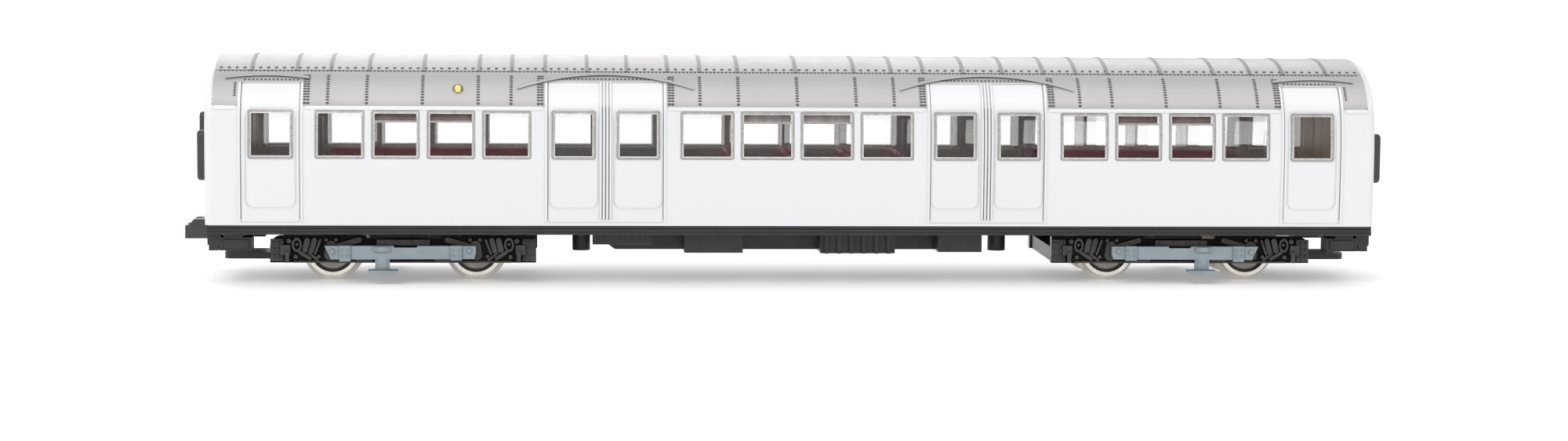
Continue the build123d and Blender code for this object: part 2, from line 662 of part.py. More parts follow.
def bogie_frame():
    """Moulded frame: side frames, bolster with its pivot bore, end transoms and drawbar tongue."""
    near = side_frame()
    solid = near + mirror(near, Plane.XZ)
    inner = FRAME_PLATE[0] + 0.2
    bolster = block((-4.2, 4.2), (-inner, inner), (BOLSTER[0], BOLSTER[1] - 0.65))
    solid += bolster + drum(0, 0, BOLSTER, 4.4)
    for x in (-FRAME_HALF + 0.35, FRAME_HALF - 3.15):
        solid += block((x, x + 2.8), (-inner, inner), (2.9, 5.4))
    tongue = block((-TONGUE_REACH, -FRAME_HALF + 2), (-4.0, 4.0), (2.5, 3.6))
    tongue = fillet(tongue.edges().filter_by(Axis.Z).group_by(Axis.X)[0], 1.4)
    solid += tongue - drum(-TONGUE_REACH + 2.6, 0, (2, 4), 1.0)
    solid -= drum(0, 0, (BOLSTER[0] - 1, BOLSTER[1] + 1), PIVOT_BORE_R)
    for x in axle_places():
        for cup in axle_cup(x):
            solid -= cup
    return solid


def shoe_beam(side):
    """Collector-shoe beam of one side, with its end brackets, fuse and shoe."""
    back, front = 15.05, 16.1
    y = (-front, -back)
    outline = Polyline(
        (-13.9, 5.95), (-2.1, 5.95), (-1.8, 5.65), (1.9, 5.65), (2.2, 5.95), (12.2, 5.95), (12.2, 4.6),
        (11.9, 3.7), (-12.8, 3.6), close=True,
    )
    beam = side_cut(make_face(outline), y)
    for x, low in (((-11.35, -9.45), 3.3), ((7.83, 9.83), 3.5)):
        beam += side_cut(span(x, (low, 6.0)), (-front - 0.25, -back))
        heads = [Pos(c, z) * Circle(0.16) for c in (x[0] + 0.45, x[1] - 0.45) for z in (4.3, 5.3)]
        beam += side_cut(Sketch() + heads, (-front - 0.45, -front))
    beam += side_cut(Pos(-12.6, 5.0) * Circle(0.38), (-front - 0.35, -back))
    beam += side_cut(Pos(11.1, 5.2) * Circle(0.38), (-front - 0.35, -back))
    handle = Pos(-4.05, 5.4) * SlotOverall(3.1, 0.75)
    beam += side_cut(handle, (-front - 0.3, -back))
    beam += side_cut(Sketch() + [Pos(x, 5.4) * Circle(0.2) for x in (-5.1, -3.0)], (-front - 0.5, -front))
    beam += block((-5.2, -2.7), (-front + 0.1, -back), (1.6, 3.8)) + block((-4.7, -3.2), y, (1.6, 3.8))
    shoe = Polyline(
        (-6.4, 1.45), (-5.8, 1.0), (-1.9, 1.0), (-1.3, 1.45), (-1.3, 1.75), (-6.4, 1.75), close=True,
    )
    beam += side_cut(make_face(shoe), (-front - 0.7, -back + 0.6))
    beam = Pos(BEAM_SHIFT, 0, 0) * beam
    for x in (-9.0, 8.0):
        beam += block((x - 1.0, x + 1.0), (-back - 0.1, -14.45), (4.4, 5.6))
    return beam if side < 0 else mirror(beam, Plane.XZ)


def axle(x):
    """Pinpoint axle."""
    start, end, tip = AXLE_TIP
    outline = Polyline(
        (0, -end), (tip, -end), (AXLE_R, -start), (AXLE_R, start), (tip, end), (0, end), close=True,
    )
    return Pos(x, 0, AXLE_HEIGHT) * revolve(make_face(outline), Axis.Y)


def wheel(x, side):
    """Flanged wheel: bright tyre, turned groove and dished disc round the hub."""
    back, front = WHEEL_BACK, WHEEL_FRONT
    root = back + FLANGE_THICK
    profile = Polyline(
        (BUSH_R + FIT, back), (FLANGE_R - 0.35, back), (FLANGE_R, back + 0.3), (FLANGE_R, back + 0.45),
        (TREAD_R + 0.12, root), (TREAD_R, root + 0.15), (TREAD_R - 0.05, front - 0.12),
        (TREAD_R - 0.17, front),
        (3.95, front), (3.85, front - 0.5), (3.4, front - 0.5), (3.3, front - 0.15), (2.4, front - 0.4),
        (2.1, front - 0.1), (BUSH_R + FIT, front - 0.1), close=True,
    )
    solid = Pos(x, 0, AXLE_HEIGHT) * revolve(make_face(profile), Axis.Y)
    return solid if side > 0 else mirror(solid, Plane.XZ)


def bushes(x):
    """Insulating bushes between the axle and its two wheels."""
    rings = []
    for y in across((WHEEL_BACK - 0.4, WHEEL_FRONT + 0.05)):
        tube = Cylinder(BUSH_R, y[1] - y[0]) - Cylinder(AXLE_R + FIT / 2, y[1] - y[0] + 1)
        rings.append(Pos(x, sum(y) / 2, AXLE_HEIGHT) * Rot(90, 0, 0) * tube)
    return Compound(rings)


# ---------------------------------------------------------------- assembly


def body_nodes():
    """Every piece fixed to the coach body, by name."""
    nodes = {
        "body_shell": body_shell(),
        "interior_floor": interior_floor(),
        "seat_bank_mid": seat_bank_mid(),
        "chassis": chassis(),
        "equipment_tray": equipment_tray(),
        "equipment_case": equipment_case(),
        "coupler_screw": pivot_screw(COUPLER_PIVOT, (5.7, 6.52), 10.2),
        "coupler": coupler(),
        "draw_socket": draw_socket(),
    }
    for side, word in ((-1, "near"), (1, "far")):
        nodes[f"glazing_{word}"] = glazing(side)
        nodes[f"window_frames_{word}"] = window_frames(side)
        nodes[f"indicator_lamp_{word}"] = indicator_lamp(side)
    for end, letter in ((-1, "a"), (1, "b")):
        nodes[f"end_glazing_{letter}"] = end_glazing(end)
        nodes[f"bulkhead_{letter}"] = bulkhead(end)
        nodes[f"seat_bank_{letter}"] = seat_bank(end)
        nodes[f"headstock_{letter}"] = headstock(end)
        nodes[f"pivot_screw_{letter}"] = pivot_screw(end * BOGIE_CENTRE, (5.4, 6.22), FLOOR_TOP - 0.1)
        nodes[f"end_cover_{letter}_centre"] = end_pad(end, 0.0, (20.5, 28.3), 105.0)
        nodes[f"end_cover_{letter}_near"] = end_pad(end, -14.1, (17.2, 25.9), 103.85)
        nodes[f"end_cover_{letter}_far"] = end_pad(end, 14.1, (17.2, 25.9), 103.85)
    return nodes


def bogie_nodes(letter, place):
    """One bogie's pieces, by name, before it is placed under the coach."""
    nodes = {f"bogie_frame_{letter}": bogie_frame()}
    for side, word in ((-1, "near"), (1, "far")):
        nodes[f"shoe_beam_{letter}_{word}"] = shoe_beam(side * place)
    for number, x in zip((1, 2), axle_places()):
        name = f"{letter}{number}"
        nodes[f"axle_{name}"] = axle(x)
        nodes[f"bushes_{name}"] = bushes(x)
        for side, word in ((-1, "near"), (1, "far")):
            nodes[f"wheel_{name}_{word}"] = wheel(x, side * place)
    return nodes


def write(name, shape):
    """Save one piece in the coach's own frame."""
    export_step(Pos(SHIFT, 0, RAIL_HEAD) * shape, f"parts/{name}.step")


os.makedirs("parts", exist_ok=True)
for name, shape in body_nodes().items():
    write(name, shape)
for name, shape in bogie_nodes("a", 1).items():
    write(name, Pos(-BOGIE_CENTRE, 0, 0) * shape)
for name, shape in bogie_nodes("b", -1).items():
    write(name, Pos(BOGIE_CENTRE, 0, 0) * Rot(0, 0, 180) * shape)
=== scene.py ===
import math

import bpy
from mathutils import Matrix, Vector


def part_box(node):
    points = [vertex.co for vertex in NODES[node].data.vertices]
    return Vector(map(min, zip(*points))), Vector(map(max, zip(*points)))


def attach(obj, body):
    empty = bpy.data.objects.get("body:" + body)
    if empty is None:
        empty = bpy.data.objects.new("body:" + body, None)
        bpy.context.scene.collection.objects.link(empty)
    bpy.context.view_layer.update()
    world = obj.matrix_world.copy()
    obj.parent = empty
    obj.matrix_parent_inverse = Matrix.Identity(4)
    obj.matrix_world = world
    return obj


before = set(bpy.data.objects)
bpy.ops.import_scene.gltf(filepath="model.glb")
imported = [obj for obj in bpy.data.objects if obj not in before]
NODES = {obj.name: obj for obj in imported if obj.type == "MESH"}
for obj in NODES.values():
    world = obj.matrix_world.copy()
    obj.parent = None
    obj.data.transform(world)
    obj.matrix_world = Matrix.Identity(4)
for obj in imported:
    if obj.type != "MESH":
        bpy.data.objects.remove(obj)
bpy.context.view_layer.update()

# The coach's frame is in metres: +X along it, the near side at -Y, wheel flanges standing on Z = 0
MM = 0.001
BODY = "coach_body"

# The body's sizes below are in mm, along X from its middle and up from the rail head
SHELL_LOW, SHELL_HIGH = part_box("body_shell")
SHELL_BOTTOM = 9.6
MIDDLE = (SHELL_LOW.x + SHELL_HIGH.x) / 2 / MM
RAIL = SHELL_LOW.z / MM - SHELL_BOTTOM

# The body's cross-section: arcs tangent to each other from the crown down, and the angles they end at
CROWN = 38.55
ARC_RADII = (24.6, 10.8, 34.0, 300.0)
ARC_ENDS = (25.27, 80.0, 90.0)
EAVES = 30.25
LAP = 36.2
ROOF_HALF = 101.15
DOUBLE_DOOR = (22.9, 43.9)
DOUBLE_HEAD = 34.6
END_DOOR = (85.65, 96.7)
END_HEAD = 34.3
FRAME_WIDTH = 0.55
HOPPER_WINDOWS = ((65.51, 73.85), (55.96, 64.3), (0.53, 9.92))
TRANSOM = (27.45, 27.8)
QUARTER_LIGHT = (27.85, 29.9)
# How far out of the skin the outer side of a bar or light lies, and its thickness
BAR_LAYER = (-0.08, 0.12)
LIGHT_LAYER = (-1.75, 0.1)

# Depths under the body's skin, and places, that tell its faces apart
LINING_DEPTH = 0.6
LINING_HALF = 101.6
GROOVE_DEPTH = 0.25
PANEL_STEP = (0.09, 0.14)
PANEL_HEIGHTS = (12.8, 28.0)
STRAP_RISE = 0.1
EAVES_ROOM = 0.04
HEAD_ROOM = 0.03
FRAME_LIP_DEPTH = 0.06

# Half widths of the bogies' side frames and their details, and radii on a wheel's outer face
SIDE_FRAME = (13.8, 13.95)
WHEEL_FACE = 7.3
TYRE_RADIUS = 3.92
DISC_RADIUS = 3.42
LENS_DEPTH = 0.56


def place(x, y, z):
    """A point given in mm from the body's middle and the rail head, in the frame's metres."""
    return Vector(((x + MIDDLE) * MM, y * MM, (z + RAIL) * MM))


# ---------------------------------------------------------------- the section's curve


def arc_centres():
    centres = [(0.0, CROWN - ARC_RADII[0])]
    for radius, after, angle in zip(ARC_RADII, ARC_RADII[1:], ARC_ENDS):
        y, z = centres[-1]
        turn = math.radians(angle)
        centres.append((y + (radius - after) * math.sin(turn), z + (radius - after) * math.cos(turn)))
    return centres


CENTRES = arc_centres()


def on_skin(height, out=0.0):
    """Half width, height and outward normal of the body's skin at a height above the rail."""
    for (y, z), radius, end in zip(CENTRES, ARC_RADII, (*ARC_ENDS, 180.0)):
        if height >= z + radius * math.cos(math.radians(end)):
            turn = math.acos(min(1.0, (height - z) / radius))
            normal = (math.sin(turn), math.cos(turn))
            return y + (radius + out) * normal[0], z + (radius + out) * normal[1], normal
    raise ValueError(height)


def depth_under_skin(y, z):
    """How far a point of the section lies inside the body's skin, in mm."""
    y = abs(y)
    for (cy, cz), radius, end in zip(CENTRES, ARC_RADII, (*ARC_ENDS, 180.0)):
        if math.degrees(math.atan2(y - cy, z - cz)) <= end:
            return radius - math.hypot(y - cy, z - cz)
    return 0.0


# ---------------------------------------------------------------- materials


def node(tree, kind, at=(0, 0), **values):
    made = tree.nodes.new(kind)
    made.location = at
    for name, value in values.items():
        setattr(made, name, value)
    return made


def noise(tree, coordinates, size_mm, detail=3.0, distortion=0.0):
    """Noise whose lumps are about size_mm across."""
    made = node(tree, "ShaderNodeTexNoise")
    made.inputs["Scale"].default_value = 1 / (size_mm * MM)
    made.inputs["Detail"].default_value = detail
    made.inputs["Distortion"].default_value = distortion
    tree.links.new(coordinates, made.inputs["Vector"])
    return made.outputs["Fac"]


def ranged(tree, value, low, high, start=0.3, end=0.7):
    made = node(tree, "ShaderNodeMapRange")
    for name, number in (("From Min", start), ("From Max", end), ("To Min", low), ("To Max", high)):
        made.inputs[name].default_value = number
    tree.links.new(value, made.inputs["Value"])
    return made.outputs["Result"]


def mixed(tree, factor, first, second):
    """Colour between two colours, either of them a value or a socket."""
    made = node(tree, "ShaderNodeMix", data_type="RGBA")
    tree.links.new(factor, made.inputs["Factor"])
    for socket, colour in ((made.inputs[6], first), (made.inputs[7], second)):
        if isinstance(colour, bpy.types.NodeSocket):
            tree.links.new(colour, socket)
        else:
            socket.default_value = (*colour, 1.0)
    return made.outputs[2]


def bumped(tree, value, depth_mm, strength=1.0, normal=None):
    made = node(tree, "ShaderNodeBump")
    made.inputs["Strength"].default_value = strength
    made.inputs["Distance"].default_value = depth_mm * MM
    tree.links.new(value, made.inputs["Height"])
    if normal:
        tree.links.new(normal, made.inputs["Normal"])
    return made.outputs["Normal"]


def specks(tree, coordinates, spacing_mm, size):
    """Mask of sparse dots: size is their share of the spacing."""
    made = node(tree, "ShaderNodeTexVoronoi")
    made.inputs["Scale"].default_value = 1 / (spacing_mm * MM)
    tree.links.new(coordinates, made.inputs["Vector"])
    return ranged(tree, made.outputs["Distance"], 1.0, 0.0, size * 0.6, size)


def shade(colour, factor):
    return tuple(min(1.0, c * factor) for c in colour)


def darkened(tree, factor, colour):
    """A colour multiplied by a grey value."""
    made = node(tree, "ShaderNodeMix", data_type="RGBA", blend_type="MULTIPLY")
    made.inputs["Factor"].default_value = 1.0
    tree.links.new(colour, made.inputs[6])
    tree.links.new(factor, made.inputs[7])
    return made.outputs[2]


def painted_crevice_shade(tree, reach_mm, low):
    """Painted shade: grey value that falls to low in corners and grooves narrower than the reach, darkening
    colour where shade falls.
    """
    made = node(tree, "ShaderNodeAmbientOcclusion", samples=8)
    made.inputs["Distance"].default_value = reach_mm * MM
    return ranged(tree, made.outputs["AO"], low, 1.0, 0.35, 0.95)


def painted_light_by_height(tree, coordinates, *painted_light_slopes):
    """Painted light and shade: grey value changing with the height above the rail, brightening or darkening
    colour where light or shade falls; slopes are (tone below, tone above, low, high).
    """
    split = node(tree, "ShaderNodeSeparateXYZ")
    tree.links.new(coordinates, split.inputs[0])
    total = None
    for before, after, low, high in painted_light_slopes:
        levels = [place(0, 0, height).z for height in (low, high)]
        tone = ranged(tree, split.outputs["Z"], before, after, *levels)
        if total:
            made = node(tree, "ShaderNodeMath", operation="ADD")
            tree.links.new(total, made.inputs[0])
            tree.links.new(tone, made.inputs[1])
            tone = made.outputs[0]
        total = tone
    return total


def surface(name, colour, roughness, metallic=0.0, mottle=(6.0, 0.04), grain=(0.4, 0.004),
            rough_shift=0.06, dust=None, coat=0.0, specular=0.5, crevice_shade=None, painted_light_slopes=()):
    """Painted, moulded or metal surface.

    mottle: (lump size mm, depth of the tone), grain: (size mm, depth mm),
    dust: (colour, spacing mm, share), crevice: (reach mm, tone of the painted shade in the depth of a
    corner),
    slopes: painted light and shade by height, as painted_light_by_height takes them.
    """
    material = bpy.data.materials.new(name)
    material.use_nodes = True
    tree = material.node_tree
    shader = tree.nodes["Principled BSDF"]
    shader.inputs["Metallic"].default_value = metallic
    shader.inputs["Coat Weight"].default_value = coat
    shader.inputs["Specular IOR Level"].default_value = specular
    coordinates = node(tree, "ShaderNodeTexCoord").outputs["Object"]
    size, depth = mottle
    tone = ranged(tree, noise(tree, coordinates, size, 4.0), 0.0, 1.0)
    base = mixed(tree, tone, shade(colour, 1 - depth), shade(colour, 1 + depth))
    if dust:
        dust_colour, spacing, share = dust
        base = mixed(tree, specks(tree, coordinates, spacing, share), base, dust_colour)
    # Painted shade: the base colour is darkened in corners and grooves
    if crevice_shade:
        base = darkened(tree, painted_crevice_shade(tree, *crevice_shade), base)
    # Painted light and shade: the base colour is brightened or darkened by height
    if painted_light_slopes:
        base = darkened(tree, painted_light_by_height(tree, coordinates, *painted_light_slopes), base)
    tree.links.new(base, shader.inputs["Base Color"])
    patches = noise(tree, coordinates, size / 3, 3.0)
    rough = ranged(tree, patches, roughness - rough_shift, roughness + rough_shift)
    tree.links.new(rough, shader.inputs["Roughness"])
    grain_size, grain_depth = grain
    normal = bumped(tree, noise(tree, coordinates, grain_size, 2.0), grain_depth)
    normal = bumped(tree, noise(tree, coordinates, grain_size * 6, 2.0), grain_depth * 2, 1.0, normal)
    tree.links.new(normal, shader.inputs["Normal"])
    return material


def turned_metal(name, colour, centre, roughness=0.25):
    """Bright metal with fine lathe rings round an axle along Y."""
    material = surface(name, colour, roughness, metallic=1.0, mottle=(1.5, 0.08), grain=(0.15, 0.001))
    tree = material.node_tree
    coordinates = node(tree, "ShaderNodeTexCoord").outputs["Object"]
    offset = node(tree, "ShaderNodeVectorMath", operation="SUBTRACT")
    offset.inputs[1].default_value = centre
    flat = node(tree, "ShaderNodeVectorMath", operation="MULTIPLY")
    flat.inputs[1].default_value = (1, 0, 1)
    radius = node(tree, "ShaderNodeVectorMath", operation="LENGTH")
    rings = node(tree, "ShaderNodeMath", operation="MULTIPLY")
    rings.inputs[1].default_value = math.tau / (0.12 * MM)
    wave = node(tree, "ShaderNodeMath", operation="SINE")
    tree.links.new(coordinates, offset.inputs[0])
    tree.links.new(offset.outputs[0], flat.inputs[0])
    tree.links.new(flat.outputs[0], radius.inputs[0])
    tree.links.new(radius.outputs["Value"], rings.inputs[0])
    tree.links.new(rings.outputs[0], wave.inputs[0])
    shader = tree.nodes["Principled BSDF"]
    before = shader.inputs["Normal"].links[0].from_socket
    tree.links.new(bumped(tree, wave.outputs[0], 0.002, 0.5, before), shader.inputs["Normal"])
    return material


def clear_plastic(name, tint=(0.96, 0.97, 0.97), roughness=0.02, clearness=0.35):
    """Clear moulding with faint flow marks in its surface; part of the light passes it unbent."""
    material = bpy.data.materials.new(name)
    material.use_nodes = True
    tree = material.node_tree
    shader = tree.nodes["Principled BSDF"]
    shader.inputs["Base Color"].default_value = (*tint, 1.0)
    shader.inputs["Transmission Weight"].default_value = 1.0
    shader.inputs["IOR"].default_value = 1.45
    shader.inputs["Alpha"].default_value = clearness
    coordinates = node(tree, "ShaderNodeTexCoord").outputs["Object"]
    haze = ranged(tree, noise(tree, coordinates, 3.0), roughness, roughness + 0.03)
    tree.links.new(haze, shader.inputs["Roughness"])
    tree.links.new(bumped(tree, noise(tree, coordinates, 5.0, 1.0), 0.01, 0.3), shader.inputs["Normal"])
    return material


# Painted light and shade: the white is painted brighter above the windows as a painted highlight; the roof is
# painted darker at its lower edge and under the lap, and both are darkened in corners, as painted shade
WHITE = surface("white_enamel", (0.725, 0.735, 0.75), 0.32, mottle=(14.0, 0.004), grain=(0.45, 0.0035),
                rough_shift=0.015, dust=((0.60, 0.60, 0.60), 9.0, 0.012), coat=0.15, crevice_shade=(0.5, 0.62),
                painted_light_slopes=((1.0, 1.15, 29.6, 31.6),))
ROOF = surface("roof_grey_enamel", (0.535, 0.528, 0.517), 0.34, mottle=(9.0, 0.03), grain=(0.4, 0.005),
               dust=((0.85, 0.85, 0.83), 6.0, 0.02), crevice_shade=(0.4, 0.75),
               painted_light_slopes=((1.0, 0.84, 33.4, 35.2), (0.0, 0.13, 36.1, 37.8), (-0.2, 0.0, 30.3, 31.5)))
# Painted shade: the roof rivets are painted far darker than the roof, standing in for the shade round them
RIVET_PAINTED_SHADE = surface("roof_rivet_painted_shade", (0.10, 0.097, 0.094), 0.45, mottle=(2.0, 0.1), grain=(0.2, 0.006))
STRAP = surface("roof_strap_grey", (0.24, 0.235, 0.23), 0.38, mottle=(3.0, 0.06), grain=(0.3, 0.005))
# Painted shade: the floors of the door grooves are painted grey, standing in for the shade in them
GROOVE_PAINTED_SHADE = surface("groove_painted_shade", (0.46, 0.46, 0.47), 0.5, mottle=(2.0, 0.1), grain=(0.2, 0.006))
# Painted shade: the edge step of each door's pressed panel is painted a darker white, standing in for the
# shade on it
PANEL_EDGE_SHADE = surface("panel_edge_painted_shade", (0.60, 0.61, 0.62), 0.35, mottle=(2.0, 0.05), grain=(0.2, 0.004))
LINING = surface("shell_lining", (0.62, 0.59, 0.56), 0.6, grain=(0.3, 0.01))
# Painted light and shade: the window frames' silver print comes in two copies, the darker on the raised outer
# edge as painted shade and the lighter on the sunk inner step as a painted highlight; the hopper bars take
# the darker copy
SILVER = surface("silver_print", (0.36, 0.35, 0.335), 0.3, metallic=0.25, mottle=(1.2, 0.10),
                 grain=(0.2, 0.005))
SILVER_PAINTED_HIGHLIGHT = surface("silver_print_painted_highlight", (0.60, 0.585, 0.57), 0.25, metallic=0.4, mottle=(1.2, 0.12),
                     grain=(0.2, 0.006))
GLAZING = clear_plastic("clear_glazing_plastic")
FLOOR_GREY = surface("interior_grey_plastic", (0.46, 0.43, 0.41), 0.5, mottle=(3.0, 0.12), grain=(0.25, 0.01))
BROWN = surface("interior_brown_plastic", (0.50, 0.37, 0.25), 0.45, mottle=(3.0, 0.15), grain=(0.25, 0.01))
MAROON = surface("seat_maroon_plastic", (0.48, 0.05, 0.09), 0.45, mottle=(2.0, 0.2), grain=(0.2, 0.015))
# Painted shade: the underframe black is darkened in its corners
BLACK = surface("underframe_black_plastic", (0.026, 0.025, 0.024), 0.36, mottle=(4.0, 0.2),
                grain=(0.22, 0.008), dust=((0.16, 0.15, 0.14), 5.0, 0.03), crevice_shade=(0.9, 0.25), specular=0.4)
# Painted light and shade on the bogie frames: the side frames' plate is painted near black as painted shade
# and the details raised from it a lighter black as painted light, darkened in their corners as painted shade;
# the specks on them are dust
PAINTED_SHADE_BLACK = surface("bogie_plate_painted_shade", (0.006, 0.006, 0.005), 0.6, mottle=(3.0, 0.2), grain=(0.22, 0.008),
               specular=0.12)
PAINTED_LIGHT_BLACK = surface("bogie_detail_painted_light", (0.046, 0.043, 0.040), 0.34, mottle=(2.0, 0.25), grain=(0.2, 0.012),
                 dust=((0.20, 0.19, 0.17), 2.5, 0.04), crevice_shade=(0.7, 0.2), specular=0.35)
COVER = surface("cover_dark_plastic", (0.042, 0.038, 0.034), 0.4, mottle=(3.0, 0.12), grain=(0.2, 0.008))
# Painted shade: the shoe beams are darkened in their corners
BEAM = surface("shoe_beam_plastic", (0.24, 0.29, 0.315), 0.42, mottle=(3.0, 0.08), grain=(0.2, 0.01),
               crevice_shade=(0.7, 0.45))
STEEL = surface("screw_steel", (0.35, 0.34, 0.33), 0.35, metallic=0.9, mottle=(0.8, 0.15), grain=(0.1, 0.003))
DISC = surface("wheel_disc_grey", (0.50, 0.47, 0.42), 0.4, metallic=0.2, mottle=(1.2, 0.2),
               grain=(0.2, 0.012))
GROOVE = surface("wheel_groove_dark", (0.035, 0.030, 0.025), 0.5, grain=(0.15, 0.01))
YELLOW = surface("lamp_yellow_lens", (0.95, 0.76, 0.16), 0.12, mottle=(0.5, 0.1), grain=(0.15, 0.002),
                 coat=0.6)
COLLAR = surface("lamp_collar_blue_grey", (0.10, 0.12, 0.17), 0.3, mottle=(0.5, 0.1), grain=(0.15, 0.004))
TYRE_COLOUR = (0.74, 0.70, 0.63)
BUSH = surface("bush_black_plastic", (0.025, 0.024, 0.023), 0.4, grain=(0.15, 0.005))


# ---------------------------------------------------------------- finishes on the CAD nodes


def finish(material, *names):
    """Give whole CAD nodes, found by the start of their name, one material."""
    for name, obj in NODES.items():
        if name.startswith(names):
            obj.data.materials.clear()
            obj.data.materials.append(material)


def paint_faces(obj, materials, choose):
    """Give each face of a node the material that choose(centre in mm, normal) picks by number."""
    mesh = obj.data
    mesh.materials.clear()
    for material in materials:
        mesh.materials.append(material)
    picks = [choose(face.center / MM, face.normal) for face in mesh.polygons]
    mesh.polygons.foreach_set("material_index", picks)
    mesh.update()


BODY_FINISHES = (WHITE, ROOF, LINING, STRAP, GROOVE_PAINTED_SHADE, PANEL_EDGE_SHADE)
WHITE_PART, ROOF_PART, INSIDE_PART, STRAP_PART, GROOVE_SHADE_PART, PANEL_SHADE_PART = range(len(BODY_FINISHES))


def body_finish(centre, normal):
    """Which of the body's finishes a face of the shell gets."""
    x, y, z = abs(centre.x - MIDDLE), centre.y, centre.z - RAIL
    depth = depth_under_skin(y, z)
    if depth > LINING_DEPTH and x < LINING_HALF:
        return INSIDE_PART
    in_door = any(low < x < high for low, high in (DOUBLE_DOOR, END_DOOR))
    if in_door and z < DOUBLE_HEAD and abs(normal.y) > 0.5:
        # Painted shade: groove floors and the pressed panel's edge step take darker paint
        if depth > GROOVE_DEPTH:
            return GROOVE_SHADE_PART
        if PANEL_STEP[0] < depth < PANEL_STEP[1] and PANEL_HEIGHTS[0] < z < PANEL_HEIGHTS[1]:
            return PANEL_SHADE_PART
    if z > LAP and x < ROOF_HALF and depth < -STRAP_RISE:
        return STRAP_PART
    if z < EAVES + EAVES_ROOM or x > ROOF_HALF:
        return WHITE_PART
    for door, head in ((DOUBLE_DOOR, DOUBLE_HEAD), (END_DOOR, END_HEAD)):
        if door[0] < x < door[1] and z < head + HEAD_ROOM:
            return WHITE_PART
    return ROOF_PART


def frame_finish(centre, normal):
    """0 raised outer edge of a window frame, in the darker silver as painted shade, 1 its sunk inner step, in
    the lighter silver as a painted highlight.
    """
    return 0 if depth_under_skin(centre.y, centre.z - RAIL) < FRAME_LIP_DEPTH else 1


def bogie_finish(centre, normal):
    """0 general black, 1 the plate of a side frame, painted near black as painted shade, 2 the details raised
    from it, painted a lighter black as painted light.
    """
    reach = abs(centre.y)
    if reach < SIDE_FRAME[0]:
        return 0
    return 1 if reach < SIDE_FRAME[1] and abs(normal.y) > 0.7 else 2


def lamp_finish(side):
    """0 yellow lens, 1 collar: the lens is the part furthest out of the roof."""
    centre = sum(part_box(f"indicator_lamp_{side}"), Vector()) / 2 / MM
    _, _, normal = on_skin(centre.z - RAIL)
    outward = Vector((0, normal[0] if centre.y > 0 else -normal[0], normal[1]))
    reach = max((v.co / MM).dot(outward) for v in NODES[f"indicator_lamp_{side}"].data.vertices)
    return lambda point, _: 0 if point.dot(outward) > reach - LENS_DEPTH else 1


def wheel_finish(axle):
    """0 bright tyre, 1 dark groove, 2 grey disc, by distance from the axle."""
    low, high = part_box(axle)
    middle = (low + high) / 2 / MM

    def choose(point, normal):
        radius = math.hypot(point.x - middle.x, point.z - middle.z)
        if radius > TYRE_RADIUS or abs(point.y) < WHEEL_FACE:
            return 0
        return 1 if radius > DISC_RADIUS else 2

    return choose


finish(GLAZING, "glazing", "end_glazing")
finish(FLOOR_GREY, "interior_floor")
finish(BROWN, "bulkhead")
finish(MAROON, "seat_bank")
finish(BLACK, "chassis", "equipment", "headstock", "draw_socket")
finish(COVER, "end_cover", "coupler")
finish(BEAM, "shoe_beam")
finish(STEEL, "coupler_screw", "pivot_screw", "axle")
finish(BUSH, "bushes")
paint_faces(NODES["body_shell"], BODY_FINISHES, body_finish)
for letter in "ab":
    # Bogie frames: painted shade on the side-frame plates, painted light on the raised details
    paint_faces(NODES[f"bogie_frame_{letter}"], (BLACK, PAINTED_SHADE_BLACK, PAINTED_LIGHT_BLACK), bogie_finish)
for side in ("near", "far"):
    # Window frames: painted shade on the outer edge, a painted highlight on the inner step
    paint_faces(NODES[f"window_frames_{side}"], (SILVER, SILVER_PAINTED_HIGHLIGHT), frame_finish)
    paint_faces(NODES[f"indicator_lamp_{side}"], (YELLOW, COLLAR), lamp_finish(side))
for number in ("a1", "a2", "b1", "b2"):
    low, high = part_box(f"axle_{number}")
    bright = turned_metal(f"tyre_metal_{number}", TYRE_COLOUR, (low + high) / 2)
    for side in ("near", "far"):
        paint_faces(NODES[f"wheel_{number}_{side}"], (bright, GROOVE, DISC), wheel_finish(f"axle_{number}"))


# ---------------------------------------------------------------- pieces added to the CAD


def piece(name, mesh_data, material, body, smooth=True):
    """New mesh object from (vertices in metres, faces), riding on a body."""
    mesh = bpy.data.meshes.new(name)
    mesh.from_pydata(*mesh_data)
    mesh.validate()
    mesh.update()
    mesh.materials.append(material)
    mesh.polygons.foreach_set("use_smooth", [smooth] * len(mesh.polygons))
    obj = bpy.data.objects.new(name, mesh)
    bpy.context.scene.collection.objects.link(obj)
    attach(obj, body)
    return obj


def join(parts):
    """One (vertices, edges, faces) from several (vertices, faces)."""
    vertices, faces = [], []
    for points, polygons in parts:
        start = len(vertices)
        vertices += points
        faces += [[start + i for i in polygon] for polygon in polygons]
    return vertices, [], faces


def rivet(at, normal, radius=0.2, height=0.13, flat=1.0, sides=8):
    """Domed rivet head on a point of the skin (mm from middle and rail), flattened up the skin by flat."""
    normal = Vector(normal).normalized()
    along = Vector((1, 0, 0)) if abs(normal.x) < 0.9 else Vector((0, 1, 0))
    across = normal.cross(along).normalized()
    along = across.cross(normal)
    across = across * flat
    points = []
    for share, rise in ((1.0, -0.08), (0.97, height * 0.35), (0.66, height * 0.82)):
        for step in range(sides):
            turn = math.tau * step / sides
            out = along * math.cos(turn) + across * math.sin(turn)
            points.append(place(*(Vector(at) + out * radius * share + normal * rise)))
    points.append(place(*(Vector(at) + normal * height)))
    faces = []
    for low, high in ((0, sides), (sides, 2 * sides)):
        for step in range(sides):
            after = (step + 1) % sides
            faces.append([low + step, low + after, high + after, high + step])
    faces += [[2 * sides + step, 2 * sides + (step + 1) % sides, 3 * sides] for step in range(sides)]
    faces.append(list(reversed(range(sides))))
    return points, faces


